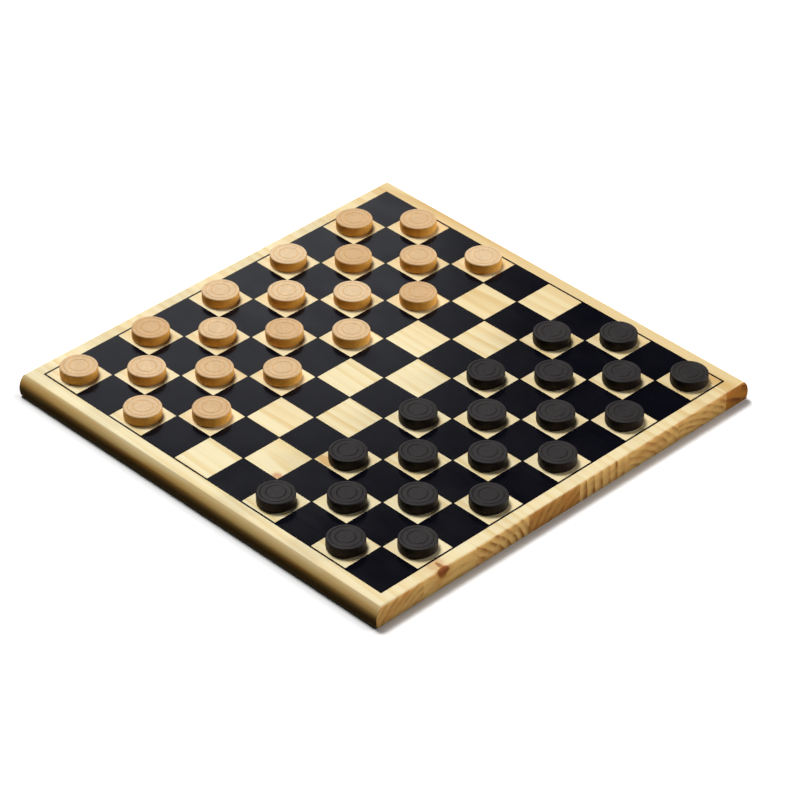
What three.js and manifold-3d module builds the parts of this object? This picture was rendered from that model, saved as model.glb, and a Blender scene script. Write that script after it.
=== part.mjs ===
// International draughts board: an edge-glued pine panel, its printed field and a full set of men.
// Millimetres, +Z up. X runs across the staves and Y along the grain, from the dark side to the light side.
// The origin is on the table, under the middle of the board.

import * as THREE from 'three';
import { mergeVertices } from 'three/addons/utils/BufferGeometryUtils.js';
import Module from 'manifold-3d';

const wasm = await Module();
wasm.setup();

// Men: turned discs with ring grooves in the top face
const MAN_DIAMETER = 30;
const MAN_HEIGHT = 9;
const MAN_TOP_EASING = 1.2;
const MAN_FOOT_EASING = 1.5;
const MAN_FACETS = 16;
const RIM_WIDTH = 2.4;
const RING_SPACING = 4.4;
const GROOVE_WIDTH = 1.3;
const GROOVE_DEPTH = 0.5;
const RING_COUNT = 2;

// Field: squares a little wider than the men, printed in one pass
const SQUARES_PER_SIDE = 10;
const ROWS_OF_MEN = 4;
const MAN_ROOM = 7;
const WINDOW_INSET = 0.5;
const LINE_WIDTH = 1.5;
const PRINT_THICKNESS = 0.15;

// Panel: staves wider than a square, glued edge to edge, then cut to size with shallow round long edges
const PANEL_THICKNESS = 19;
const STAVE_EXTRA = 18;
const FIRST_JOINT = -44;
const SIDE_BORDER = 11.3;
const NOSE_REACH = 5.4;
const NOSE_DROP = 2;
const NOSE_STEPS = 12;
const END_BORDER = 12.2;
const END_EASING = 2;
const EASING_STEPS = 3;

// Sizes that follow from the ones above
const SQUARE = MAN_DIAMETER + MAN_ROOM;
const FIELD = SQUARE * SQUARES_PER_SIDE;
const STAVE_WIDTH = SQUARE + STAVE_EXTRA;
const FLAT_WIDTH = FIELD + 2 * SIDE_BORDER;
const PANEL_WIDTH = FLAT_WIDTH + 2 * NOSE_REACH;
const PANEL_LENGTH = FIELD + 2 * END_BORDER;
const NOSE_HEIGHT = PANEL_THICKNESS / 2 - NOSE_DROP;
const NOSE_RISE = PANEL_THICKNESS - NOSE_HEIGHT;
const NOSE_RADIUS = (NOSE_RISE ** 2 + NOSE_REACH ** 2) / (2 * NOSE_REACH);

const PINE_TONES = ['#efd7a4', '#ecd09a', '#f2dcae', '#e9cb92'];

function finish(color, roughness) {
  return new THREE.MeshStandardMaterial({ color, roughness, metalness: 0 });
}

function part(name, geometry, material) {
  const mesh = new THREE.Mesh(geometry, material);
  mesh.name = name;
  return mesh;
}

function numbered(word, index) {
  return `${word}_${String(index + 1).padStart(2, '0')}`;
}

// Booleans

function toSolid(geometry) {
  const bare = geometry.clone();
  bare.deleteAttribute('normal');
  bare.deleteAttribute('uv');
  const welded = mergeVertices(bare, 1e-4);
  return new wasm.Manifold(new wasm.Mesh({
    numProp: 3,
    vertProperties: new Float32Array(welded.attributes.position.array),
    triVerts: new Uint32Array(welded.index.array),
  }));
}

function toGeometry(solid) {
  const mesh = solid.getMesh();
  const geometry = new THREE.BufferGeometry();
  geometry.setAttribute('position', new THREE.BufferAttribute(mesh.vertProperties, 3));
  geometry.setIndex(new THREE.BufferAttribute(mesh.triVerts, 1));
  geometry.computeVertexNormals();
  return geometry;
}

// Panel: the round-edged section along Y and the eased side view along X, cut into staves

// Each long edge is one arc, furthest out at NOSE_HEIGHT, that meets both faces in an arris
function noseSection() {
  const centre = PANEL_WIDTH / 2 - NOSE_RADIUS;
  const low = Math.asin(-NOSE_HEIGHT / NOSE_RADIUS);
  const high = Math.atan2(NOSE_RISE, NOSE_RADIUS - NOSE_REACH);
  const shape = new THREE.Shape();
  shape.absarc(centre, NOSE_HEIGHT, NOSE_RADIUS, low, high);
  shape.absarc(-centre, NOSE_HEIGHT, NOSE_RADIUS, Math.PI - high, Math.PI - low);
  return shape;
}

function easedSideView() {
  const end = PANEL_LENGTH / 2 - END_EASING;
  const high = PANEL_THICKNESS - END_EASING;
  const shape = new THREE.Shape();
  shape.absarc(end, END_EASING, END_EASING, -Math.PI / 2, 0);
  shape.absarc(end, high, END_EASING, 0, Math.PI / 2);
  shape.absarc(-end, high, END_EASING, Math.PI / 2, Math.PI);
  shape.absarc(-end, END_EASING, END_EASING, Math.PI, 1.5 * Math.PI);
  return shape;
}

function panelSolid() {
  const section = new THREE.ExtrudeGeometry(noseSection(), {
    depth: PANEL_LENGTH,
    bevelEnabled: false,
    curveSegments: NOSE_STEPS,
  });
  section.rotateX(Math.PI / 2);
  section.translate(0, PANEL_LENGTH / 2, 0);

  const sideView = new THREE.ExtrudeGeometry(easedSideView(), {
    depth: PANEL_WIDTH,
    bevelEnabled: false,
    curveSegments: EASING_STEPS,
  });
  sideView.translate(0, 0, -PANEL_WIDTH / 2);
  const across = new THREE.Vector3(1, 0, 0);
  const along = new THREE.Vector3(0, 1, 0);
  const up = new THREE.Vector3(0, 0, 1);
  sideView.applyMatrix4(new THREE.Matrix4().makeBasis(along, up, across));

  return toSolid(section).intersect(toSolid(sideView));
}

// Glue joints lie one stave apart, and none runs through a round edge
function glueJoints() {
  const reach = FLAT_WIDTH / 2;
  const first = Math.ceil((-reach - FIRST_JOINT) / STAVE_WIDTH);
  const last = Math.floor((reach - FIRST_JOINT) / STAVE_WIDTH);
  const joints = [];
  for (let step = first; step <= last; step += 1) {
    joints.push(FIRST_JOINT + step * STAVE_WIDTH);
  }
  return joints;
}

function pineStaves() {
  const panel = panelSolid();
  const edges = [-PANEL_WIDTH / 2, ...glueJoints(), PANEL_WIDTH / 2];
  const staves = new THREE.Group();
  for (let index = 0; index + 1 < edges.length; index += 1) {
    const width = edges[index + 1] - edges[index];
    const slab = new THREE.BoxGeometry(width, PANEL_LENGTH, PANEL_THICKNESS);
    slab.translate(edges[index] + width / 2, 0, PANEL_THICKNESS / 2);
    const stave = toGeometry(toSolid(slab).intersect(panel));
    const tone = PINE_TONES[index % PINE_TONES.length];
    staves.add(part(numbered('pine_stave', index), stave, finish(tone, 0.5)));
  }
  return staves;
}

// Field: column and row count from the corner at -X, -Y, where the square is dark

function squareCentre(column, row) {
  const middle = (SQUARES_PER_SIDE - 1) / 2;
  return new THREE.Vector2((column - middle) * SQUARE, (row - middle) * SQUARE);
}

function isLight(column, row) {
  return (column + row) % 2 === 1;
}

function squareSlab(centre, side, height) {
  const slab = new THREE.BoxGeometry(side, side, height);
  slab.translate(centre.x, centre.y, PANEL_THICKNESS + PRINT_THICKNESS / 2);
  return toSolid(slab);
}

// One sheet of ink: dark squares joined at their corners, a border line, and windows for the light squares
function printedField() {
  const lineOutside = LINE_WIDTH - WINDOW_INSET;
  const window = SQUARE - 2 * WINDOW_INSET;
  const throughInk = 3 * PRINT_THICKNESS;
  let sheet = squareSlab(new THREE.Vector2(0, 0), FIELD + 2 * lineOutside, PRINT_THICKNESS);
  for (let row = 0; row < SQUARES_PER_SIDE; row += 1) {
    for (let column = 0; column < SQUARES_PER_SIDE; column += 1) {
      if (isLight(column, row)) {
        sheet = sheet.subtract(squareSlab(squareCentre(column, row), window, throughInk));
      }
    }
  }
  return part('printed_field', toGeometry(sheet), finish('#1a1a20', 0.4));
}

// Men: one turned profile, from the foot over the rim to the middle of the top face

function manProfile() {
  const radius = MAN_DIAMETER / 2;
  const profile = [
    new THREE.Vector2(0, 0),
    new THREE.Vector2(radius - MAN_FOOT_EASING, 0),
    new THREE.Vector2(radius, MAN_FOOT_EASING),
    new THREE.Vector2(radius, MAN_HEIGHT - MAN_TOP_EASING),
    new THREE.Vector2(radius - MAN_TOP_EASING, MAN_HEIGHT),
  ];
  for (let ring = 0; ring < RING_COUNT; ring += 1) {
    const outside = radius - RIM_WIDTH - ring * RING_SPACING;
    profile.push(
      new THREE.Vector2(outside, MAN_HEIGHT),
      new THREE.Vector2(outside - GROOVE_WIDTH / 2, MAN_HEIGHT - GROOVE_DEPTH),
      new THREE.Vector2(outside - GROOVE_WIDTH, MAN_HEIGHT),
    );
  }
  profile.push(new THREE.Vector2(0, MAN_HEIGHT));
  return profile;
}

function man(name, centre, material) {
  const geometry = new THREE.LatheGeometry(manProfile(), MAN_FACETS);
  geometry.rotateX(Math.PI / 2);
  const mesh = part(name, geometry, material);
  mesh.position.set(centre.x, centre.y, PANEL_THICKNESS);
  return mesh;
}

function setOfMen(word, firstRow, color) {
  const men = new THREE.Group();
  for (let row = firstRow; row < firstRow + ROWS_OF_MEN; row += 1) {
    for (let column = 0; column < SQUARES_PER_SIDE; column += 1) {
      if (isLight(column, row)) {
        const name = numbered(word, men.children.length);
        men.add(man(name, squareCentre(column, row), finish(color, 0.45)));
      }
    }
  }
  return men;
}

const board = new THREE.Group();
board.add(pineStaves());
board.add(printedField());
board.add(setOfMen('dark_man', 0, '#35302f'));
board.add(setOfMen('light_man', SQUARES_PER_SIDE - ROWS_OF_MEN, '#d9b485'));

export default board;
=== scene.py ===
"""Dresses a set-up draughts board: a lacquered pine panel, its black print and two sets of turned men."""

import logging
import math
from dataclasses import dataclass
from enum import Enum
from typing import Any, Callable, ClassVar

import bmesh
import bpy
from mathutils import Matrix, Vector


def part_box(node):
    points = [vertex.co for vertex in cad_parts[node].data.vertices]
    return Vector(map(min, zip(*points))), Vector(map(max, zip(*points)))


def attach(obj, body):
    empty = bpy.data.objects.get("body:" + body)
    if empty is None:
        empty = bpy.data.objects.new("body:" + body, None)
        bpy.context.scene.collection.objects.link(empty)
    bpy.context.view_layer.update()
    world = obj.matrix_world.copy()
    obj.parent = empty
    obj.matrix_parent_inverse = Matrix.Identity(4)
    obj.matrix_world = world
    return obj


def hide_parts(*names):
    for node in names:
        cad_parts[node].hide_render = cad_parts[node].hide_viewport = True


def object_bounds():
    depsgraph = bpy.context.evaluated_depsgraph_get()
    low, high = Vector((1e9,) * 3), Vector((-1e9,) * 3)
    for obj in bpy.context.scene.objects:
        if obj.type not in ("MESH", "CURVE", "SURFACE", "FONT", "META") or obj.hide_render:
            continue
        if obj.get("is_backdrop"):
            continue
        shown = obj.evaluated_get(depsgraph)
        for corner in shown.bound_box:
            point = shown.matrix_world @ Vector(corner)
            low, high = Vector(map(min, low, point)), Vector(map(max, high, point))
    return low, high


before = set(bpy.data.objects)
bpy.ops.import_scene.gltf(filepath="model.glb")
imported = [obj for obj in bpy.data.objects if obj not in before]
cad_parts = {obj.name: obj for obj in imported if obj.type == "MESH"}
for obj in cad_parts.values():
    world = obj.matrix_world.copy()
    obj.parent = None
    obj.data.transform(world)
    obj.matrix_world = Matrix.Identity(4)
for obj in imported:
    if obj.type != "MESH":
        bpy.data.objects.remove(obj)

LOG = logging.getLogger("draughts_board")
MM = 0.001

# How near a corner has to be to count as on a face, how near two points have to be to become one, and the
# same for planing cuts and the ink's edge, which are finer
NEAR = 0.01 * MM
DOUBLED = NEAR / 10
HAIR = NEAR / 100

# The length of one wave of the wave texture at a scale of 1
WAVE = math.pi / 10

Inputs = dict[int | str, Any]
Socket = bpy.types.NodeSocket
CornerTest = Callable[[Vector], bool]
Triple = tuple[float, float, float]


# Shared shop tools


def linear(hex_colour: str) -> tuple[float, float, float, float]:
    """Turns an sRGB hex colour into linear light.

    Args:
        hex_colour: The colour as "#rrggbb".

    Returns:
        Red, green, blue and alpha in linear light.
    """
    channels = [int(hex_colour[at:at + 2], 16) / 255 for at in (1, 3, 5)]
    red, green, blue = (c / 12.92 if c <= 0.04045 else ((c + 0.055) / 1.055) ** 2.4 for c in channels)
    return red, green, blue, 1.0


def add_node(tree: bpy.types.NodeTree, kind: str, inputs: Inputs, **settings: Any) -> bpy.types.Node:
    """Adds a shader node, sets it up, and fills or links its inputs.

    Args:
        tree: The node tree that gets the node.
        kind: The node's type without its ShaderNode prefix.
        inputs: Values, hex colours or output sockets, by input name or number.
        **settings: The node's own properties.

    Returns:
        The new node.
    """
    node = tree.nodes.new("ShaderNode" + kind)
    for key, value in settings.items():
        setattr(node, key, value)
    for key, value in inputs.items():
        if isinstance(value, Socket):
            tree.links.new(value, node.inputs[key])
        else:
            is_colour = isinstance(value, str) and value.startswith("#")
            node.inputs[key].default_value = linear(value) if is_colour else value
    return node


class Shop:
    """Edit-mode handwork on one piece: picking by place, then the usual modelling operators."""

    def __init__(self, name: str, add_primitive: Callable[..., Any], **options: Any) -> None:
        """Adds a primitive at its size and place as the start of a piece.

        Args:
            name: The piece's name.
            add_primitive: The operator that adds the primitive.
            **options: The operator's settings, in metres.
        """
        bpy.ops.object.select_all(action="DESELECT")
        add_primitive(**options)
        self.piece = bpy.context.active_object
        self.piece.name = name
        self.piece.data.name = name
        bpy.ops.object.transform_apply(location=True, rotation=True, scale=True)
        bpy.ops.object.mode_set(mode="EDIT")

    def pick(self, kind: str, wanted: CornerTest, whole: bool = True) -> None:
        """Selects edges or faces by where their corners are, and drops every other selection.

        Args:
            kind: EDGE or FACE.
            wanted: The test that a corner has to pass.
            whole: Whether all corners have to pass, or the middle alone.
        """
        bpy.ops.mesh.select_mode(type=kind)
        bpy.ops.mesh.select_all(action="DESELECT")
        mesh = bmesh.from_edit_mesh(self.piece.data)
        for element in (mesh.edges if kind == "EDGE" else mesh.faces):
            corners = [corner.co for corner in element.verts]
            if not whole:
                corners = [sum(corners, Vector()) / len(corners)]
            element.select_set(all(wanted(corner) for corner in corners))
        mesh.select_flush_mode()
        bmesh.update_edit_mesh(self.piece.data)

    def soften(self, width: float, steps: int) -> None:
        """Rounds the picked edges.

        Args:
            width: The rounding, in millimetres.
            steps: Facets in the round.
        """
        bpy.ops.mesh.bevel(offset=width * MM, segments=steps, profile=0.5, affect="EDGES")

    def weld(self, distance: float = DOUBLED) -> None:
        """Merges doubled points and turns all faces outwards.

        Args:
            distance: How near points have to be, in metres.
        """
        bpy.ops.mesh.select_mode(type="VERT")
        bpy.ops.mesh.select_all(action="SELECT")
        bpy.ops.mesh.remove_doubles(threshold=distance)
        bpy.ops.mesh.normals_make_consistent(inside=False)

    def done(self, smooth_angle: float) -> bpy.types.Object:
        """Leaves edit mode, smooths every edge flatter than an angle, and lets the flat faces stay flat.

        Args:
            smooth_angle: The angle in degrees.

        Returns:
            The finished piece.
        """
        bpy.ops.object.mode_set(mode="OBJECT")
        bpy.ops.object.shade_smooth_by_angle(angle=math.radians(smooth_angle))
        even = self.piece.modifiers.new("even_shading", "WEIGHTED_NORMAL")
        even.keep_sharp = True
        bpy.ops.object.modifier_apply(modifier=even.name)
        self.piece.select_set(False)
        return self.piece


def hand_over(piece: bpy.types.Object, node: str, body: str, material: bpy.types.Material) -> None:
    """Gives a finished piece its material and lets it stand for its solid.

    Args:
        piece: The finished piece.
        node: The solid that it replaces.
        body: The body that it moves with.
        material: Its finish.
    """
    piece.data.materials.clear()
    piece.data.materials.append(material)
    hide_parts(node)
    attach(piece, body)
    LOG.info("%s stands for %s, %d faces", piece.name, node, len(piece.data.polygons))


# Finishes


class Step(Enum):
    """A common step of a finish: its node, the inputs that it fills in order, its output and its settings."""

    MIX = ("Mix", (0, 6, 7), 2, {"data_type": "RGBA"})
    TINT = ("Mix", (0, 6, 7), 2, {"data_type": "RGBA", "blend_type": "MULTIPLY"})
    PLUS = ("Math", (0, 1), 0, {"operation": "ADD"})
    MINUS = ("Math", (0, 1), 0, {"operation": "SUBTRACT"})
    TIMES = ("Math", (0, 1), 0, {"operation": "MULTIPLY"})
    LARGER = ("Math", (0, 1), 0, {"operation": "MAXIMUM"})
    BELOW = ("Math", (0, 1), 0, {"operation": "LESS_THAN"})
    UNSIGNED = ("Math", (0,), 0, {"operation": "ABSOLUTE"})
    EASE = ("MapRange", (0, 1, 2), 0, {"interpolation_type": "SMOOTHSTEP"})
    STRETCH = ("MapRange", (0, 3, 4), 0, {})
    AWAY_FROM = ("VectorMath", (0, 1), 0, {"operation": "SUBTRACT"})
    DIVIDED = ("VectorMath", (0, 1), 0, {"operation": "DIVIDE"})
    SCALED = ("VectorMath", (0, "Scale"), 0, {"operation": "SCALE"})
    LENGTH = ("VectorMath", (0,), 1, {"operation": "LENGTH"})


class NodeBench:
    """A node tree under way."""

    def __init__(self, tree: bpy.types.NodeTree) -> None:
        """Takes up a tree.

        Args:
            tree: The tree of a material or a world.
        """
        self.tree = tree

    def add(self, kind: str, inputs: Inputs, out: int | str = 0, **settings: Any) -> Socket:
        """Adds a node to the tree and gives one of its outputs.

        Args:
            kind: The node's type.
            inputs: What its inputs hold or link to.
            out: Which output to give.
            **settings: The node's own properties.

        Returns:
            The chosen output socket.
        """
        return add_node(self.tree, kind, inputs, **settings).outputs[out]

    def take(self, step: Step, *inputs: Any) -> Socket:
        """Adds the node of a common step, with its inputs in order, and gives its output."""
        kind, sockets, out, settings = step.value
        return self.add(kind, dict(zip(sockets, inputs)), out, **settings)


class FinishBench(NodeBench):
    """A new material with one principled shader and coordinates in millimetres."""

    def __init__(self, name: str) -> None:
        """Starts an empty material.

        Args:
            name: The material's name.
        """
        self.material = bpy.data.materials.new(name)
        self.material.use_nodes = True
        super().__init__(self.material.node_tree)
        self.shader = self.tree.nodes["Principled BSDF"]
        coordinates = add_node(self.tree, "TexCoord", {}).outputs
        self.normal = coordinates["Normal"]
        self.place = self.take(Step.SCALED, coordinates["Object"], 1 / MM)

    def blots(self, place: Socket, size: Triple, detail: float = 2.0, out: int = 0) -> Socket:
        """Draws a soft irregular pattern whose blots measure so many millimetres along each axis.

        Args:
            place: Coordinates in millimetres.
            size: The blots' size along X, Y and Z.
            detail: How many finer layers it has.
            out: 0 for one value, 1 for three.

        Returns:
            The pattern, from 0 to 1 about 0.5.
        """
        measured = self.take(Step.DIVIDED, place, size)
        return self.add("TexNoise", {"Vector": measured, "Scale": 1.0, "Detail": detail}, out=out)

    def shade(self, height: Socket, relief: float, **inputs: Any) -> bpy.types.Material:
        """Fills the shader and gives the surface its fine relief.

        Args:
            height: The relief's height, from 0 to 1.
            relief: How high 1 is, in millimetres.
            **inputs: The shader's inputs, with _ for a space.

        Returns:
            The finished material.
        """
        bump = self.add("Bump", {"Height": height, "Distance": relief * MM, "Strength": 1.0})
        self.tree.links.new(bump, self.shader.inputs["Normal"])
        for key, value in inputs.items():
            socket = self.shader.inputs[key.replace("_", " ")]
            if isinstance(value, Socket):
                self.tree.links.new(value, socket)
            else:
                socket.default_value = value
        return self.material


@dataclass(frozen=True)
class Knot:
    """A branch that the panel's surface cuts through.

    Attributes:
        centre: Its middle in the board's frame, in millimetres.
        radii: Its half sizes along X, Y and Z, in millimetres.
        heart: The colour of its heartwood.
        share: How strongly it shows.
    """

    centre: Triple
    radii: Triple
    heart: str
    share: float = 0.92

    # The size of the wobbles in its outline, in millimetres, and the colour round its heart
    RAGGED: ClassVar[Triple] = (4.0, 4.0, 4.0)
    HALO: ClassVar[str] = "#e0a050"

    def lay_over(self, bench: FinishBench, wood: Socket) -> Socket:
        """Lays the knot with its reddish halo over the wood.

        Args:
            bench: The material under way.
            wood: The colour so far.

        Returns:
            The colour with the knot in it.
        """
        offset = bench.take(Step.AWAY_FROM, bench.place, self.centre)
        reach = bench.take(Step.LENGTH, bench.take(Step.DIVIDED, offset, self.radii))
        ragged = bench.blots(bench.place, self.RAGGED, detail=3.0)
        reach = bench.take(Step.PLUS, reach, bench.take(Step.STRETCH, ragged, -0.35, 0.35))
        halo = bench.take(Step.MINUS, 1.0, bench.take(Step.EASE, reach, 0.7, 1.7))
        heart = bench.take(Step.MINUS, 1.0, bench.take(Step.EASE, reach, 0.6, 1.0))
        wood = bench.take(Step.MIX, bench.take(Step.TIMES, halo, self.share / 2), wood, self.HALO)
        return bench.take(Step.MIX, bench.take(Step.TIMES, heart, self.share), wood, self.heart)


@dataclass(frozen=True)
class LacqueredPine:
    """Planed and sanded pine under clear satin lacquer.

    The eye gets pale early wood that deepens slowly into narrow amber late wood and breaks off sharply. The
    faces draw the rings out into long soft stripes, and the thirsty end grain shows them as dark arcs. The
    round edges are flamed and carry a painted warm shade, with painted shade where they turn under.

    Attributes:
        pith: Where the log's heart was, across and up from the stave's middle, in millimetres.
        ring_width: One year's growth, in millimetres.
        end_contrast: How strongly the rings show on the end grain.
        warmth: How far the faces lean from cream to orange.
        end_depth: How far the end grain leans from tan to brown.
        lean: How far the heart wanders along the stave, as a slope.
        knots: The branches in the stave.
    """

    pith: tuple[float, float]
    ring_width: float
    end_contrast: float
    warmth: float
    end_depth: float
    lean: float = 0.03
    knots: tuple[Knot, ...] = ()

    # Early and late wood on the faces, from cream to orange, and on the ends, from tan to brown
    EARLY: ClassVar[tuple[str, str]] = ("#fbecc0", "#eacf98")
    LATE: ClassVar[tuple[str, str]] = ("#f0d79a", "#d8b06e")
    END_EARLY: ClassVar[tuple[str, str]] = ("#f5c473", "#b87628")
    END_LATE: ClassVar[tuple[str, str]] = ("#9a5a1e", "#7c4410")
    BLUSH: ClassVar[str] = "#f4d6a0"
    # A painted warm shade on the round edges, the tint of their flames, painted shade where they turn under,
    # and the soaked patches on the ends
    EDGE_SHADE_TINT: ClassVar[str] = "#ffe09c"
    FLAME_TINT: ClassVar[str] = "#f0bf80"
    UNDER_SHADE_TINT: ClassVar[str] = "#c4bcb3"
    SOAKED: ClassVar[str] = "#c87a30"

    # How strongly the late wood, blush and flames show on the faces, and the soaked patches on the ends
    LATE_SHARE: ClassVar[float] = 0.8
    BLUSH_SHARE: ClassVar[float] = 0.35
    FLAME_SHARE: ClassVar[float] = 0.6
    SOAKED_SHARE: ClassVar[float] = 0.5

    # The heights between which the ends go from painted shade near the table to a painted highlight under the
    # top arris, in millimetres, and their brightness below and above
    END_SHADE_AND_HIGHLIGHT: ClassVar[tuple[tuple[float, float, float, float], ...]] = (
        (-1.0, 9.0, 0.5, 1.07),
        (11.5, 18.0, 1.0, 1.3),
    )

    # Sizes of the patterns along X, Y and Z, in millimetres. Real fibres and pores are far finer, and are
    # drawn as coarse as they need to show.
    FIBRE_SIZE: ClassVar[Triple] = (0.45, 55.0, 0.45)
    PORE_SIZE: ClassVar[Triple] = (0.5, 0.5, 0.5)
    BLUSH_SIZE: ClassVar[Triple] = (34.0, 190.0, 34.0)
    FLAME_SIZE: ClassVar[Triple] = (7.0, 130.0, 5.0)
    SOAKED_SIZE: ClassVar[Triple] = (16.0, 30.0, 9.0)
    SWAY_SIZE: ClassVar[Triple] = (45.0, 260.0, 45.0)
    SWAY_REACH: ClassVar[Triple] = (9.0, 0.0, 9.0)
    YEARS_SIZE: ClassVar[Triple] = (11.0, 220.0, 11.0)
    RELIEF: ClassVar[float] = 0.05

    def make(self, name: str, middle: Vector) -> bpy.types.Material:
        """Builds the material for one stave.

        Args:
            name: The material's name.
            middle: The middle of the stave, in millimetres.

        Returns:
            The finished material.
        """
        bench = FinishBench(name)
        late = self._late_wood(bench, middle)
        fibre = bench.blots(bench.place, self.FIBRE_SIZE, detail=3.0)
        across, lengthwise, _ = add_node(bench.tree, "SeparateXYZ", {0: bench.normal}).outputs
        face = self._face(bench, late, fibre, bench.take(Step.UNSIGNED, across))
        cut_across = bench.take(Step.EASE, bench.take(Step.UNSIGNED, lengthwise), 0.45, 0.9)
        wood = bench.take(Step.MIX, cut_across, face, self._end_grain(bench, late))
        for knot in self.knots:
            wood = knot.lay_over(bench, wood)

        height = bench.take(Step.PLUS, bench.take(Step.TIMES, late, 0.4), bench.take(Step.TIMES, fibre, 0.6))
        gloss = bench.take(Step.PLUS, bench.take(Step.STRETCH, fibre, 0.34, 0.5),
                           bench.take(Step.TIMES, cut_across, 0.22))
        return bench.shade(height, self.RELIEF, Base_Color=wood, Roughness=gloss, IOR=1.5,
                           Specular_IOR_Level=0.2)

    def _late_wood(self, bench: FinishBench, middle: Vector) -> Socket:
        """Draws the rings about the pith, wavy as real growth is.

        Args:
            bench: The material under way.
            middle: The middle of the stave, in millimetres.

        Returns:
            1 in late wood and 0 in early wood.
        """
        heart = (-middle.x - self.pith[0], 0.0, -middle.z - self.pith[1])
        slope = math.atan(self.lean)
        turned = bench.add("Mapping", {"Vector": bench.place, "Location": heart,
                                       "Rotation": (slope, 0.0, slope / 2)})
        sway = bench.blots(bench.place, self.SWAY_SIZE, detail=3.0, out=1)
        sway = bench.take(Step.AWAY_FROM, sway, (0.5, 0.5, 0.5))
        sway = bench.add("VectorMath", {0: sway, 1: self.SWAY_REACH, 2: turned}, operation="MULTIPLY_ADD")
        rings = bench.add("TexWave", {"Vector": sway, "Scale": WAVE / self.ring_width, "Distortion": 1.2,
                                      "Detail": 2.0, "Detail Scale": 0.25}, out=1,
                          wave_type="RINGS", rings_direction="Y", wave_profile="SAW")
        rise = bench.take(Step.EASE, rings, 0.2, 0.85)
        fall = bench.take(Step.EASE, rings, 0.88, 1.0)
        years = bench.take(Step.EASE, bench.blots(bench.place, self.YEARS_SIZE), 0.3, 0.7)
        return bench.take(Step.TIMES, bench.take(Step.MINUS, rise, fall),
                          bench.take(Step.STRETCH, years, 0.2, 1.25))

    def _face(self, bench: FinishBench, late: Socket, fibre: Socket, sideways: Socket) -> Socket:
        """Colours the planed faces and the round edges, with a painted warm shade on the round edges.

        Args:
            bench: The material under way.
            late: 1 in late wood.
            fibre: The pattern of the fibres.
            sideways: 1 where the surface faces sideways, and 0 where it lies flat.

        Returns:
            The colour.
        """
        early_wood = bench.take(Step.MIX, self.warmth, *self.EARLY)
        late_wood = bench.take(Step.MIX, self.warmth, *self.LATE)
        face = bench.take(Step.MIX, bench.take(Step.TIMES, late, self.LATE_SHARE), early_wood, late_wood)
        blush = bench.take(Step.EASE, bench.blots(bench.place, self.BLUSH_SIZE, detail=1.0), 0.45, 0.75)
        face = bench.take(Step.MIX, bench.take(Step.TIMES, blush, self.BLUSH_SHARE), face, self.BLUSH)
        face = bench.take(Step.TINT, 1.0, face, bench.take(Step.STRETCH, fibre, 0.90, 1.06))

        # Painted warm shade: the sideways faces of the round edges are tinted warmer and darker
        planed_edge = bench.take(Step.EASE, sideways, 0.45, 1.1)
        face = bench.take(Step.TINT, planed_edge, face, self.EDGE_SHADE_TINT)
        flames = bench.take(Step.EASE, bench.blots(bench.place, self.FLAME_SIZE, detail=3.0), 0.42, 0.7)
        flames = bench.take(Step.TIMES, flames, bench.take(Step.TIMES, planed_edge, self.FLAME_SHARE))
        face = bench.take(Step.TINT, flames, face, self.FLAME_TINT)
        # Painted shade where the round edges turn under
        under_shade = bench.take(Step.EASE, sideways, 0.90, 1.0)
        return bench.take(Step.TINT, under_shade, face, self.UNDER_SHADE_TINT)

    def _end_grain(self, bench: FinishBench, late: Socket) -> Socket:
        """Colours the sawn ends, with painted shade near the table and a painted highlight under the top
        arris.

        Args:
            bench: The material under way.
            late: 1 in late wood.

        Returns:
            The colour.
        """
        early_wood = bench.take(Step.MIX, self.end_depth, *self.END_EARLY)
        late_wood = bench.take(Step.MIX, self.end_depth, *self.END_LATE)
        end = bench.take(Step.MIX, bench.take(Step.TIMES, late, self.end_contrast), early_wood, late_wood)
        soaked = bench.take(Step.EASE, bench.blots(bench.place, self.SOAKED_SIZE), 0.45, 0.75)
        end = bench.take(Step.MIX, bench.take(Step.TIMES, soaked, self.SOAKED_SHARE), end, self.SOAKED)
        pores = bench.blots(bench.place, self.PORE_SIZE)
        end = bench.take(Step.TINT, 1.0, end, bench.take(Step.STRETCH, pores, 0.82, 1.12))
        # Painted shade low on the ends and a painted highlight under the top arris
        height = bench.add("SeparateXYZ", {0: bench.place}, out=2)
        for from_height, to_height, below, above in self.END_SHADE_AND_HIGHLIGHT:
            risen = bench.take(Step.EASE, height, from_height, to_height)
            end = bench.take(Step.TINT, 1.0, end, bench.take(Step.STRETCH, risen, below, above))
        return end


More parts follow.
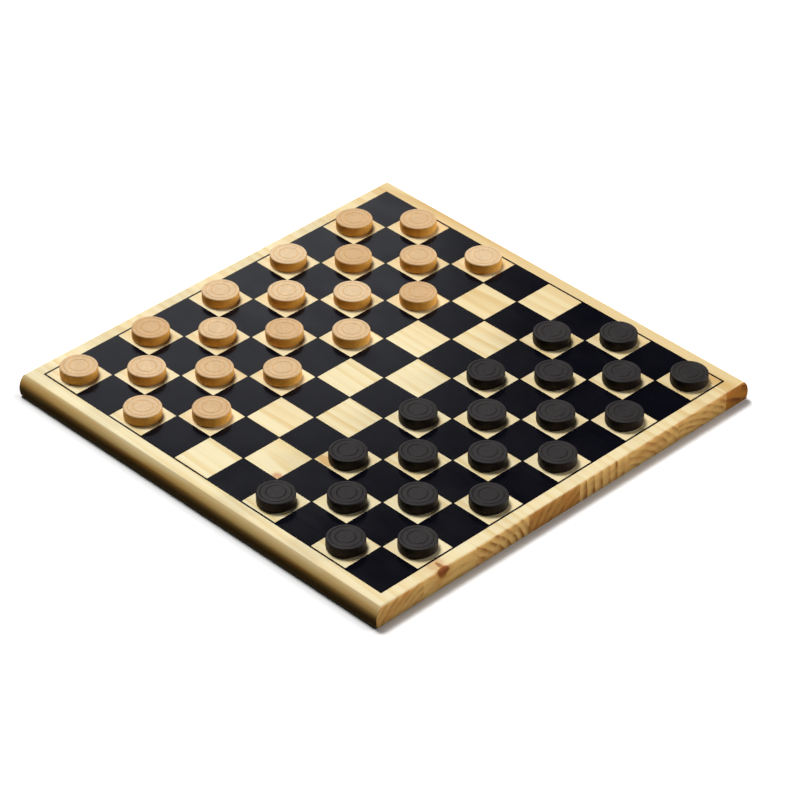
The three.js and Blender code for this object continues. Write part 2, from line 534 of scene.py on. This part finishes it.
@dataclass(frozen=True)
class ScreenInk:
    """Black screen-print ink, rolled through a mesh onto the sanded pine and left satin.

    The eye gets a deep blue-black with a soft, slightly smeared sheen, and the grain of the wood faintly
    raised through it.

    Attributes:
        deep: The ink where it lies thick.
        thin: The ink where the grain shows through.
        glint: The tint of its sheen.
    """

    deep: str = "#05050c"
    thin: str = "#0b0b15"
    glint: str = "#e8eeff"

    # Sizes of the patterns along X, Y and Z, in millimetres. Real marks of a printing mesh are finer, and are
    # drawn as coarse as they need to show.
    GRAIN_SIZE: ClassVar[Triple] = (0.8, 60.0, 0.8)
    CLOUD_SIZE: ClassVar[Triple] = (16.0, 24.0, 16.0)
    SMEAR_SIZE: ClassVar[Triple] = (32.0, 46.0, 32.0)
    MESH_SIZE: ClassVar[Triple] = (0.5, 0.5, 0.5)
    RELIEF: ClassVar[float] = 0.012

    def make(self, name: str) -> bpy.types.Material:
        """Builds the material.

        Args:
            name: The material's name.

        Returns:
            The finished material.
        """
        bench = FinishBench(name)
        grain = bench.blots(bench.place, self.GRAIN_SIZE, detail=3.0)
        cloud = bench.blots(bench.place, self.CLOUD_SIZE)
        smears = bench.take(Step.EASE, bench.blots(bench.place, self.SMEAR_SIZE, detail=1.5), 0.3, 0.7)
        mesh_marks = bench.blots(bench.place, self.MESH_SIZE, detail=1.0)
        colour = bench.take(Step.MIX, bench.take(Step.EASE, grain, 0.35, 0.75), self.deep, self.thin)
        gloss = bench.take(Step.PLUS, bench.take(Step.STRETCH, cloud, 0.17, 0.23),
                           bench.take(Step.STRETCH, mesh_marks, -0.02, 0.02))
        gloss = bench.take(Step.PLUS, gloss, bench.take(Step.STRETCH, smears, -0.03, 0.03))
        height = bench.take(Step.PLUS, bench.take(Step.TIMES, grain, 0.8),
                            bench.take(Step.TIMES, mesh_marks, 0.2))
        return bench.shade(height, self.RELIEF, Base_Color=colour, Roughness=gloss, IOR=1.5,
                           Specular_IOR_Level=0.127, Specular_Tint=linear(self.glint))


@dataclass(frozen=True)
class TurnedBeech:
    """Beech turned on a lathe and dipped in satin lacquer, clear or over a black stain.

    The eye gets a fine even wood with short flecks, faint tool rings on the top face, a painted warm shade
    round the sides and in the grooves, and no two men of quite the same tone.

    Attributes:
        top: The usual colour of a top face.
        other_top: The colour that some men lean to.
        side: The colour round the sides, which is painted shade.
        fleck: The colour of the ray flecks.
        sheen: The roughness of the lacquer.
    """

    top: str
    other_top: str
    side: str
    fleck: str
    sheen: float

    # How strongly the flecks and the painted shade in the grooves show
    FLECK_SHARE: ClassVar[float] = 0.3
    GROOVE_SHADE_SHARE: ClassVar[float] = 0.35

    # Sizes of the patterns along X, Y and Z, in millimetres. Real tool rings are finer, and are drawn as
    # coarse as they need to show.
    GRAIN_SIZE: ClassVar[Triple] = (0.7, 9.0, 4.0)
    BAND_SIZE: ClassVar[Triple] = (5.0, 40.0, 12.0)
    FLECK_SIZE: ClassVar[Triple] = (0.5, 2.2, 0.8)
    TOOL_RING: ClassVar[float] = 0.9
    RELIEF: ClassVar[float] = 0.035

    # How far the grain of one man is turned and moved from that of another, in radians and millimetres
    TURNS: ClassVar[float] = 6 * math.pi
    APART: ClassVar[float] = 500.0

    def make(self, name: str, square: float, top: float, radius: float) -> bpy.types.Material:
        """Builds the material, with each square of the field giving its man a tone and a grain of its own.

        Args:
            name: The material's name.
            square: The width of a square, in millimetres.
            top: The height of the top faces, in millimetres.
            radius: The radius inside which the grooves lie, in millimetres.

        Returns:
            The finished material.
        """
        bench = FinishBench(name)
        cell = bench.take(Step.DIVIDED, bench.place, (square, square, square))
        cell = bench.add("VectorMath", {0: cell}, operation="FLOOR")
        chance = bench.add("TexWhiteNoise", {"Vector": cell})
        local = bench.take(Step.AWAY_FROM, bench.place, bench.take(Step.SCALED, cell, square))
        local = bench.take(Step.AWAY_FROM, local, (square / 2, square / 2, 0.0))
        turned = bench.add("VectorRotate", {"Vector": local,
                                            "Angle": bench.take(Step.TIMES, chance, self.TURNS)})
        turned = bench.add("VectorMath", {0: turned, 1: bench.take(Step.TIMES, chance, self.APART)},
                           operation="ADD")

        grain = bench.blots(turned, self.GRAIN_SIZE, detail=3.0)
        wood = self._wood(bench, chance, turned, grain)
        # Painted shade in the grooves, in the side colour
        groove_shade = self._groove_shade(bench, local, top, radius)
        wood = bench.take(Step.MIX, groove_shade, wood, self.side)

        rings = bench.add("TexWave", {"Vector": local, "Scale": WAVE / self.TOOL_RING, "Distortion": 0.6},
                          out=1, wave_type="RINGS", rings_direction="Z", wave_profile="SIN")
        height = bench.take(Step.PLUS, bench.take(Step.TIMES, rings, 0.5), bench.take(Step.TIMES, grain, 0.5))
        gloss = bench.take(Step.STRETCH, grain, self.sheen - 0.06, self.sheen + 0.06)
        return bench.shade(height, self.RELIEF, Base_Color=wood, Roughness=gloss, IOR=1.5,
                           Specular_IOR_Level=0.16)

    def _wood(self, bench: FinishBench, chance: Socket, turned: Socket, grain: Socket) -> Socket:
        """Colours the bare wood, with painted shade on the sides.

        Args:
            bench: The material under way.
            chance: A value from 0 to 1 for each man.
            turned: Each man's own coordinates, in millimetres.
            grain: The pattern of the grain.

        Returns:
            The colour.
        """
        tone = bench.take(Step.MIX, chance, self.top, self.other_top)
        bands = bench.blots(turned, self.BAND_SIZE, detail=1.0)
        tone = bench.take(Step.TINT, 1.0, tone, bench.take(Step.STRETCH, bands, 0.88, 1.1))
        # The sideways faces take the side colour, which is painted shade
        upright = bench.add("SeparateXYZ", {0: bench.normal}, out=2)
        faces_up = bench.take(Step.EASE, bench.take(Step.UNSIGNED, upright), 0.25, 0.8)
        wood = bench.take(Step.MIX, faces_up, self.side, tone)
        wood = bench.take(Step.TINT, 1.0, wood, bench.take(Step.STRETCH, grain, 0.88, 1.1))
        flecks = bench.take(Step.EASE, bench.blots(turned, self.FLECK_SIZE, detail=0.0), 0.62, 0.72)
        return bench.take(Step.MIX, bench.take(Step.TIMES, flecks, self.FLECK_SHARE), wood, self.fleck)

    def _groove_shade(self, bench: FinishBench, local: Socket, top: float, radius: float) -> Socket:
        """Finds where painted shade darkens the grooves.

        Args:
            bench: The material under way.
            local: Coordinates from the man's axis, in millimetres.
            top: The height of the top faces, in millimetres.
            radius: The radius inside which the grooves lie, in millimetres.

        Returns:
            How much painted shade lies in the grooves, from 0 to 1.
        """
        flat = bench.add("VectorMath", {0: local, 1: (1.0, 1.0, 0.0)}, operation="MULTIPLY")
        inside = bench.take(Step.BELOW, bench.take(Step.LENGTH, flat), radius)
        depth = bench.take(Step.MINUS, top, bench.add("SeparateXYZ", {0: local}, out=2))
        groove_shade = bench.take(Step.EASE, depth, 0.03, 0.4)
        return bench.take(Step.TIMES, groove_shade, bench.take(Step.TIMES, inside, self.GROOVE_SHADE_SHARE))


# The side colours are painted warm shade
CLEAR_BEECH = TurnedBeech(top="#ebcea5", other_top="#d8b283", side="#f0ae4c", fleck="#a9743f", sheen=0.45)
BLACK_BEECH = TurnedBeech(top="#2c2829", other_top="#252122", side="#1a110d", fleck="#4a3f3a", sheen=0.5)


# Panel


class RoundEdge(Enum):
    """Which long edge of a stave is the panel's own round edge."""

    NONE = 0
    LOW_X = -1
    HIGH_X = 1


@dataclass
class PinePanel:
    """The panel: pine staves glued edge to edge, with a shallow round along its sides and eased ends.

    Attributes:
        nose_reach: How far the round stands out past the flat top, in millimetres.
        nose_height: The height at which it stands out furthest, in millimetres.
        nose_step: The turn from one facet of the round to the next, in degrees.
        arris: The softening of the arrises along it, in millimetres.
        arris_steps: Facets in such an arris.
        end_arris: The softening of its outline at the ends, in millimetres.
        end_arris_steps: Facets in that softening.
        easing: The rounding of the end arrises, in millimetres.
        easing_steps: Facets in an eased arris.
        smooth_angle: The angle up to which edges look round, in degrees.
    """

    nose_reach: float = 5.4
    nose_height: float = 7.5
    nose_step: float = 4.0
    arris: float = 0.6
    arris_steps: int = 3
    end_arris: float = 0.3
    end_arris_steps: int = 2
    easing: float = 2.0
    easing_steps: int = 4
    smooth_angle: float = 40.0

    WOOD: ClassVar[tuple[LacqueredPine, ...]] = (
        LacqueredPine(pith=(45, -52), ring_width=6.0, end_contrast=0.45, warmth=0.0, end_depth=0.2),
        LacqueredPine(pith=(10, -95), ring_width=7.0, end_contrast=0.25, warmth=0.05, end_depth=0.0,
                      knots=(Knot((-134.5, -190.0, 19.0), (9.0, 6.5, 3.0), "#cf9a58", 0.4),
                             Knot((-133.2, -193.0, 19.0), (2.0, 6.0, 3.0), "#8a5424", 0.75),
                             Knot((-133.5, -197.2, 18.5), (7.4, 2.4, 9.2), "#96480c"),
                             Knot((-144.5, -33.5, 19.0), (4.0, 4.5, 3.0), "#d49468", 0.7),
                             Knot((-105.5, -46.0, 19.0), (5.0, 11.0, 3.0), "#d8a450", 0.6))),
        LacqueredPine(pith=(-60, -58), ring_width=6.5, end_contrast=0.8, warmth=0.25, end_depth=0.0),
        LacqueredPine(pith=(48, -45), ring_width=7.5, end_contrast=0.6, warmth=0.15, end_depth=0.72),
        LacqueredPine(pith=(-75, -8), ring_width=8.5, end_contrast=0.8, warmth=0.1, end_depth=0.1),
        LacqueredPine(pith=(-45, -62), ring_width=6.5, end_contrast=0.55, warmth=0.3, end_depth=0.12),
        LacqueredPine(pith=(-24, -66), ring_width=5.5, end_contrast=0.65, warmth=0.55, end_depth=0.2),
        LacqueredPine(pith=(-20, -80), ring_width=11.0, end_contrast=0.9, warmth=1.0, end_depth=1.0),
    )

    def build(self) -> None:
        """Models and dresses every stave."""
        nodes = sorted(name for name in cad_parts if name.startswith("pine_stave"))
        for index, node in enumerate(nodes):
            edge = RoundEdge.NONE
            if index == 0:
                edge = RoundEdge.LOW_X
            elif index == len(nodes) - 1:
                edge = RoundEdge.HIGH_X
            stave = self._stave(node, edge)
            low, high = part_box(node)
            wood = self.WOOD[index % len(self.WOOD)]
            finish = wood.make(f"lacquered_pine_{index + 1:02d}", (low + high) / 2 / MM)
            hand_over(stave, node, "board", finish)

    def _stave(self, node: str, edge: RoundEdge) -> bpy.types.Object:
        """Models one stave from a planed block.

        Args:
            node: The solid that it replaces.
            edge: Its round edge, if it has one.

        Returns:
            The finished stave.
        """
        low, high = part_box(node)
        block = Shop(node.replace("pine_stave", "glued_stave"), bpy.ops.mesh.primitive_cube_add, size=1,
                     location=(low + high) / 2, scale=high - low)

        def on_end_arris(middle: Vector) -> bool:
            """Tells by its middle whether an edge runs across an end."""
            return abs(abs(middle.y) - high.y) < NEAR and abs(middle.z - (low.z + high.z) / 2) > NEAR

        block.pick("EDGE", on_end_arris, whole=False)
        block.soften(self.easing, self.easing_steps)
        if edge is not RoundEdge.NONE:
            self._plane_round(block, edge.value, low, high)
        block.weld()
        return block.done(self.smooth_angle)

    def _plane_round(self, block: Shop, way: int, low: Vector, high: Vector) -> None:
        """Planes one side of a block to the shallow round, facet by facet, and softens its arrises.

        Args:
            block: The piece under way.
            way: 1 where the round faces +X, or -1.
            low: The block's lowest corner, in metres.
            high: Its highest corner, in metres.
        """
        reach = self.nose_reach * MM
        nose = high.x if way > 0 else low.x
        middle = low.z + self.nose_height * MM
        radius = ((high.z - middle) ** 2 + reach ** 2) / (2 * reach)
        axis = Vector((nose - way * radius, 0.0, middle))
        for level in (high.z, low.z):
            limit = math.degrees(math.asin((level - middle) / radius))
            for step in range(1, int(abs(limit) / self.nose_step) + 1):
                turn = math.radians(math.copysign(step * self.nose_step, limit))
                out = Vector((way * math.cos(turn), 0.0, math.sin(turn)))
                bpy.ops.mesh.select_all(action="SELECT")
                bpy.ops.mesh.bisect(plane_co=axis + radius * out, plane_no=out, use_fill=True,
                                    clear_outer=True, threshold=HAIR)
        block.weld()
        for level in (high.z, low.z):
            block.pick("EDGE", lambda p: abs(p.z - level) < NEAR and abs(p.x - nose) < reach + NEAR)
            block.soften(self.arris, self.arris_steps)

        def on_outline(middle: Vector) -> bool:
            """Tells by its middle whether an edge runs round the flat end of the round."""
            return abs(abs(middle.y) - high.y) < NEAR and abs(middle.x - nose) < reach + NEAR

        block.pick("EDGE", on_outline, whole=False)
        block.soften(self.end_arris, self.end_arris_steps)


# Printed field


@dataclass
class PrintedField:
    """The black print: dark squares that meet at their corners, and a line round the field.

    Attributes:
        squares: Squares along one side.
        line_outside: How far the line reaches past the squares, in millimetres.
        window_inset: How far the ink reaches into a light square, in millimetres.
        soft_edge: The rounding of the ink's edge, in millimetres.
        soft_edge_steps: Facets in that rounding.
        smooth_angle: The angle up to which edges look round, in degrees.
    """

    squares: int = 10
    line_outside: float = 1.0
    window_inset: float = 0.5
    soft_edge: float = 0.05
    soft_edge_steps: int = 2
    smooth_angle: float = 30.0

    @property
    def square(self) -> float:
        """The width of a square, in metres."""
        low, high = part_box("printed_field")
        return (high.x - low.x - 2 * self.line_outside * MM) / self.squares

    def build(self) -> None:
        """Prints the field on a grid, cuts the light windows, adds the line and dresses it."""
        low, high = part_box("printed_field")
        square = self.square
        half = square * self.squares / 2
        sheet = Shop("ink_field", bpy.ops.mesh.primitive_grid_add, x_subdivisions=self.squares,
                     y_subdivisions=self.squares, size=2 * half, location=(0, 0, low.z))

        def is_light(middle: Vector) -> bool:
            """Tells whether a face is a light square."""
            column, row = (math.floor((part + half) / square) for part in (middle.x, middle.y))
            return (column + row) % 2 == 1

        sheet.pick("FACE", is_light, whole=False)
        bpy.ops.mesh.inset(thickness=self.window_inset * MM, use_individual=True)
        bpy.ops.mesh.delete(type="FACE")

        sheet.pick("EDGE", lambda p: max(abs(p.x), abs(p.y)) > half - NEAR)
        grow = high.x / half
        bpy.ops.mesh.extrude_edges_move()
        bpy.ops.transform.resize(value=(grow, grow, 1), center_override=(0, 0, low.z))
        sheet.weld()
        self._give_thickness(sheet, high.z - low.z)
        hand_over(sheet.done(self.smooth_angle), "printed_field", "board",
                  ScreenInk().make("satin_black_screen_ink"))

    def _give_thickness(self, sheet: Shop, thickness: float) -> None:
        """Turns the flat print into a coat of ink with a soft edge.

        Args:
            sheet: The piece under way.
            thickness: The thickness of the ink, in metres.
        """
        bpy.ops.object.mode_set(mode="OBJECT")
        coat = sheet.piece.modifiers.new("coat", "SOLIDIFY")
        coat.thickness = thickness
        coat.offset = 1.0
        bpy.ops.object.modifier_apply(modifier=coat.name)
        soften = sheet.piece.modifiers.new("soft_edge", "BEVEL")
        soften.width = self.soft_edge * MM
        soften.segments = self.soft_edge_steps
        soften.limit_method = "ANGLE"
        bpy.ops.object.modifier_apply(modifier=soften.name)
        bpy.ops.object.mode_set(mode="EDIT")
        sheet.weld(HAIR)


# Men


class Side(Enum):
    """The two sets of men, by the first word of their names."""

    DARK = "dark_man"
    LIGHT = "light_man"


@dataclass
class TurnedMan:
    """One man: a disc turned with a soft rim, ring grooves and the dimple of the lathe centre.

    Attributes:
        top_easing: The rounding of the rim, in millimetres.
        foot_easing: The rounding of the foot, in millimetres.
        lip_easing: The rounding of the grooves' lips and bottoms, in millimetres.
        rim_width: The flat rim outside the first groove, in millimetres.
        ring_spacing: The distance from groove to groove, in millimetres.
        groove_width: The width of a groove, in millimetres.
        groove_depth: The depth of a groove, in millimetres.
        rings: How many grooves there are.
        dimple_radius: The radius of the centre dimple, in millimetres.
        dimple_wall: The width of its sloping wall, in millimetres.
        dimple_depth: Its depth, in millimetres.
        facets: Facets round the disc.
        easing_steps: Facets in an eased arris.
        smooth_angle: The angle up to which edges look round, in degrees.
    """

    top_easing: float = 1.2
    foot_easing: float = 1.5
    lip_easing: float = 0.26
    rim_width: float = 2.4
    ring_spacing: float = 4.4
    groove_width: float = 1.3
    groove_depth: float = 0.5
    rings: int = 2
    dimple_radius: float = 1.5
    dimple_wall: float = 1.05
    dimple_depth: float = 0.3
    facets: int = 96
    easing_steps: int = 5
    smooth_angle: float = 35.0

    def build(self, node: str) -> bpy.types.Object:
        """Turns a man where its solid stands.

        Args:
            node: The solid that gives its size and place.

        Returns:
            The finished man.
        """
        low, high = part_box(node)
        centre = (low + high) / 2
        radius = (high.x - low.x) / 2
        blank = Shop("turned_" + node, bpy.ops.mesh.primitive_cylinder_add, vertices=self.facets,
                     radius=radius, depth=high.z - low.z, end_fill_type="NGON", location=centre)
        blank.pick("FACE", lambda p: p.z > high.z - NEAR)
        self._turn_top(radius / MM)

        def reach(corner: Vector) -> float:
            """Gives a corner's distance from the axis."""
            return math.hypot(corner.x - centre.x, corner.y - centre.y)

        blank.pick("EDGE", lambda p: reach(p) > radius - NEAR and p.z > high.z - NEAR)
        blank.soften(self.top_easing, self.easing_steps)
        blank.pick("EDGE", lambda p: reach(p) > radius - NEAR and p.z < low.z + NEAR)
        blank.soften(self.foot_easing, self.easing_steps)
        for ring in range(self.rings):
            outer_lip = radius / MM - self.rim_width - ring * self.ring_spacing
            for inwards in (0.0, self.groove_width / 2, self.groove_width):
                loop = (outer_lip - inwards) * MM
                blank.pick("EDGE", lambda p: abs(reach(p) - loop) < NEAR and p.z > centre.z)
                blank.soften(self.lip_easing, self.easing_steps)
        blank.weld()
        return blank.done(self.smooth_angle)

    def _turn_top(self, radius: float) -> None:
        """Turns the grooves and the dimple into the picked top face.

        Args:
            radius: The disc's radius, in millimetres.
        """
        bpy.ops.mesh.inset(thickness=self.rim_width * MM)
        for ring in range(self.rings):
            self._sink(self.groove_width / 2, -self.groove_depth)
            self._sink(self.groove_width / 2, self.groove_depth)
            if ring < self.rings - 1:
                bpy.ops.mesh.inset(thickness=(self.ring_spacing - self.groove_width) * MM)
        inner = radius - self.rim_width - (self.rings - 1) * self.ring_spacing - self.groove_width
        bpy.ops.mesh.inset(thickness=(inner - self.dimple_radius) * MM)
        self._sink(self.dimple_wall, -self.dimple_depth)
        bpy.ops.mesh.poke()

    def _sink(self, inwards: float, lift: float) -> None:
        """Insets the picked face and moves it up or down.

        Args:
            inwards: The inset, in millimetres.
            lift: The move along Z, in millimetres.
        """
        bpy.ops.mesh.inset(thickness=inwards * MM)
        bpy.ops.transform.translate(value=(0, 0, lift * MM))


@dataclass
class SetOfMen:
    """One side's men, turned once and copied to every place.

    Attributes:
        side: Which side they belong to.
        finish: Their finish.
        slot: The record's slot for that finish; not used.
        square: The width of a square, in metres.
    """

    side: Side
    finish: TurnedBeech
    slot: str
    square: float

    def build(self) -> None:
        """Turns the first man, copies it, and dresses them all."""
        nodes = sorted(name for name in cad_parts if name.startswith(self.side.value))
        turner = TurnedMan()
        low, high = (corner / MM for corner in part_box(nodes[0]))
        grooved = (high.x - low.x) / 2 - turner.rim_width
        finish = self.finish.make(f"turned_beech_{self.side.name.lower()}", self.square / MM, high.z, grooved)
        first = turner.build(nodes[0])
        men = {nodes[0]: first}
        start = sum(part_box(nodes[0]), Vector()) / 2
        for node in nodes[1:]:
            man = first.copy()
            man.data = first.data.copy()
            man.name = man.data.name = "turned_" + node
            man.data.transform(Matrix.Translation(sum(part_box(node), Vector()) / 2 - start))
            bpy.context.scene.collection.objects.link(man)
            men[node] = man
        for node, man in men.items():
            hand_over(man, node, node, finish)


# Studio


@dataclass(frozen=True)
class Softbox:
    """A square lamp that faces the board.

    Attributes:
        name: Its name.
        place: Where it hangs, in metres.
        size: Its width, in metres.
        power: Its power, in watts.
    """

    name: str
    place: Triple
    size: float
    power: float

    def hang(self) -> None:
        """Hangs the lamp and aims it."""
        light = bpy.data.lights.new(self.name, "AREA")
        light.shape = "SQUARE"
        light.size = self.size
        light.energy = self.power
        lamp = bpy.data.objects.new(self.name, light)
        lamp.location = self.place
        lamp.rotation_euler = (-Vector(self.place)).to_track_quat("-Z", "Y").to_euler()
        bpy.context.scene.collection.objects.link(lamp)


@dataclass
class Studio:
    """A pale floor, soft light from behind, and a long lens at the photograph's angle.

    Attributes:
        eye: The camera's place, in metres.
        turn: Its heading about Z, in degrees.
        pitch: How far it looks down, in degrees.
        roll: How far it is tipped about its own axis, in degrees.
        lens: The focal length, in millimetres.
        film_width: The width of the film, in millimetres.
        sight: How far the camera sees, in metres.
        floor_size: The floor's width, in metres.
        paper_to_eye: The floor's colour as the camera sees it.
        paper_to_light: The floor's colour as the light that it throws back has it.
        shadow_reach: How far the shadow shows round the board, in metres.
        mirror_reach: How far from the board a mirror would see the floor turn white, in metres.
        wall_height: The height up to which a mirror sees the room white, as the sine of its angle.
        room_light: How strongly the room lights the board.
    """

    eye: Triple = (-1.6623, -1.6720, 1.7290)
    turn: float = -45.137
    pitch: float = 36.288
    roll: float = 0.679
    lens: float = 169.69
    film_width: float = 36.0
    sight: float = 50.0
    floor_size: float = 8.0
    paper_to_eye: str = "#f4f4f4"
    paper_to_light: str = "#363636"
    shadow_reach: float = 0.022
    mirror_reach: float = 0.6
    wall_height: float = 0.12
    room_light: float = 0.028

    LAMPS: ClassVar[tuple[Softbox, ...]] = (
        Softbox("key_softbox", place=(0.380, 2.708, 6.440), size=2.20, power=446.0),
        Softbox("side_fill", place=(3.000, -2.517, 0.800), size=1.0, power=112.0),
        Softbox("back_card", place=(1.456, 2.303, 1.256), size=1.34, power=12.0),
    )

    def build(self) -> None:
        """Sets up the camera, the floor, the world and the lamps."""
        self._camera()
        self._floor()
        self._world()
        for lamp in self.LAMPS:
            lamp.hang()
        bpy.context.scene.view_settings.view_transform = "Standard"

    def _camera(self) -> None:
        """Places the camera."""
        lens = bpy.data.cameras.new("long_lens")
        lens.lens = self.lens
        lens.sensor_width = self.film_width
        lens.clip_end = self.sight
        camera = bpy.data.objects.new("camera", lens)
        heading = Matrix.Rotation(math.radians(self.turn), 4, "Z")
        tilt = Matrix.Rotation(math.radians(90.0 - self.pitch), 4, "X")
        tip = Matrix.Rotation(math.radians(self.roll), 4, "Z")
        camera.matrix_world = Matrix.Translation(self.eye) @ heading @ tilt @ tip
        bpy.context.scene.collection.objects.link(camera)
        bpy.context.scene.camera = camera

    def _floor(self) -> None:
        """Lays the floor: white to the eye with the shadow kept, and dark grey to the light."""
        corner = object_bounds()[1]
        bpy.ops.object.select_all(action="DESELECT")
        bpy.ops.mesh.primitive_plane_add(size=self.floor_size)
        floor = bpy.context.active_object
        floor.name = "studio_floor"
        material = bpy.data.materials.new("studio_paper")
        material.use_nodes = True
        bench = NodeBench(material.node_tree)
        bench.tree.nodes.remove(bench.tree.nodes["Principled BSDF"])

        path = add_node(bench.tree, "LightPath", {}).outputs
        mirror = bench.take(Step.LARGER, path["Is Glossy Ray"], path["Is Transmission Ray"])
        seen = bench.take(Step.LARGER, path["Is Camera Ray"], mirror)
        place = bench.add("VectorMath", {0: bench.add("TexCoord", {}, out="Object")}, operation="ABSOLUTE")
        place = bench.take(Step.AWAY_FROM, place, corner)
        place = bench.add("VectorMath", {0: place, 1: (0, 0, 0)}, operation="MAXIMUM")
        away = bench.take(Step.LENGTH, place)
        reach = bench.take(Step.STRETCH, path["Is Camera Ray"], self.mirror_reach, self.shadow_reach)
        white = bench.add("MapRange", {"Value": away, "From Max": reach, "To Max": seen},
                          interpolation_type="SMOOTHSTEP")

        dull = bench.add("BsdfDiffuse", {"Color": self.paper_to_light})
        paper = bench.add("BsdfDiffuse", {"Color": self.paper_to_eye})
        paper = bench.add("MixShader", {0: path["Is Camera Ray"], 1: dull, 2: paper})
        glow = bench.add("Emission", {"Color": "#ffffff", "Strength": white})
        shown = bench.add("AddShader", {0: paper, 1: glow})
        bench.tree.links.new(shown, bench.tree.nodes["Material Output"].inputs["Surface"])
        floor.data.materials.append(material)
        floor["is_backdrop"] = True

    def _world(self) -> None:
        """Lights the room dimly, and shows it white to the eye and low down to mirrors."""
        world = bpy.data.worlds.new("studio_room")
        bpy.context.scene.world = world
        world.use_nodes = True
        bench = NodeBench(world.node_tree)
        path = add_node(bench.tree, "LightPath", {}).outputs
        mirror = bench.take(Step.LARGER, path["Is Glossy Ray"], path["Is Transmission Ray"])
        height = bench.add("SeparateXYZ", {0: bench.add("TexCoord", {}, out="Generated")}, out=2)
        wall = bench.add("MapRange", {"Value": height, "From Max": self.wall_height, "To Min": 1.0,
                                      "To Max": self.room_light})
        lit = bench.take(Step.STRETCH, mirror, self.room_light, wall)
        strength = bench.take(Step.STRETCH, path["Is Camera Ray"], lit, 1.0)
        room = bench.tree.nodes["Background"]
        room.inputs["Color"].default_value = linear("#ffffff")
        bench.tree.links.new(strength, room.inputs["Strength"])


def main() -> None:
    """Builds every piece in order."""
    logging.basicConfig(level=logging.INFO, format="%(name)s: %(message)s")
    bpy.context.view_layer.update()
    Studio().build()
    PinePanel().build()
    field = PrintedField()
    field.build()
    SetOfMen(Side.DARK, BLACK_BEECH, "dark_stained_wood", field.square).build()
    SetOfMen(Side.LIGHT, CLEAR_BEECH, "light_wood", field.square).build()


if __name__ == "__main__":
    main()
